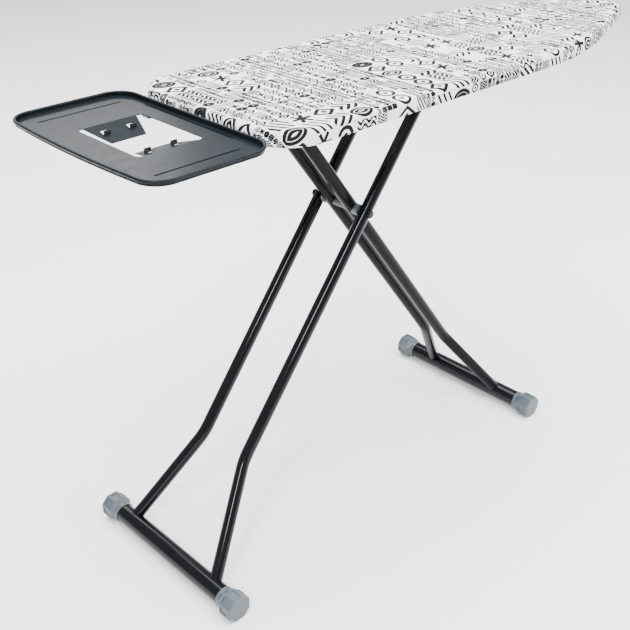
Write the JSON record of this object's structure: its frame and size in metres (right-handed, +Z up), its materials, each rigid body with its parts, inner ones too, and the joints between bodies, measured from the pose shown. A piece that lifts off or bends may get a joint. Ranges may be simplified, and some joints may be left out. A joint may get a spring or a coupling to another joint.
{
  "type": "folding ironing board",
  "caption": "Folding ironing board with a padded printed deck, scissor legs of bent tube, capped foot bars and a pressed iron rest tray.",
  "frame": {"origin": "centre of the bounding box in X and Y, on the floor", "axes": "+X towards the deck's nose, +Y to its left side, +Z up"},
  "size_m": [1.435, 0.406, 0.881],
  "materials": {
    "cover_cloth": "matt printed cotton",
    "pad_foam": "soft felted pad",
    "mesh_steel": "satin",
    "frame_paint": "satin",
    "leg_paint": "gloss",
    "cap_plastic": "satin",
    "sleeve_plastic": "satin",
    "zinc_steel": "zinc plated",
    "tray_paint": "fine satin powder coat",
    "grip_plastic": "satin"
  },
  "bodies": {
    "deck": {"cover": "cover_cloth", "foam_pad": "pad_foam", "mesh_panel": "mesh_steel", "frame_tube": "frame_paint", "hinge_channel": "frame_paint", "rear_rail_channel": "frame_paint", "front_rail_channel": "frame_paint", "tray_channel": "frame_paint", "guide_rail_left": "frame_paint", "guide_rail_right": "frame_paint", "hinge_bracket_left": "frame_paint", "hinge_bracket_right": "frame_paint", "rail_stops": "cap_plastic", "deck_screws": "zinc_steel", "iron_rest_tray": "tray_paint", "tray_arm_left": "frame_paint", "tray_arm_right": "frame_paint", "tray_rivets": "tray_paint", "tray_screws": "zinc_steel"},
    "inner_legs": {"inner_leg_left": "leg_paint", "inner_leg_right": "leg_paint", "inner_foot_bar": "leg_paint", "inner_foot_cap_left": "cap_plastic", "inner_foot_cap_right": "cap_plastic", "hinge_axle": "zinc_steel", "axle_collars": "zinc_steel", "pivot_rod": "zinc_steel", "pivot_caps": "leg_paint", "pivot_spacer_left": "cap_plastic", "pivot_spacer_right": "cap_plastic", "pivot_sleeve": "sleeve_plastic"},
    "outer_legs": {"outer_leg_left": "leg_paint", "outer_leg_right": "leg_paint", "outer_foot_bar": "leg_paint", "outer_foot_cap_left": "cap_plastic", "outer_foot_cap_right": "cap_plastic", "sliding_rod": "zinc_steel", "rod_bushes": "cap_plastic"},
    "latch": {"latch_bar": "zinc_steel", "latch_shaft": "zinc_steel", "lever_arm": "frame_paint", "lever_grip": "grip_plastic", "shaft_clips": "zinc_steel", "latch_spring": "zinc_steel"}
  },
  "joints": [
    {"name": "leg_fold", "type": "hinge", "parent": "deck", "child": "inner_legs", "pos_m": [-0.3009, 0, 0.8238], "axis": [0, -1, 0], "range_deg": [0, 49]},
    {"name": "scissor", "type": "hinge", "parent": "inner_legs", "child": "outer_legs", "pos_m": [-0.14676, 0, 0.62191], "axis": [0, -1, 0], "range_deg": [-98, 0]},
    {"name": "lever", "type": "hinge", "parent": "deck", "child": "latch", "pos_m": [0.23807, 0, 0.8468], "axis": [0, 1, 0], "range_deg": [-1.6, 4], "stiffness_Nm_per_rad": 2, "springref_deg": -5.73}
  ],
  "couplings": [
    {"joint": "scissor", "follows": "leg_fold", "ratio": -2}
  ]
}
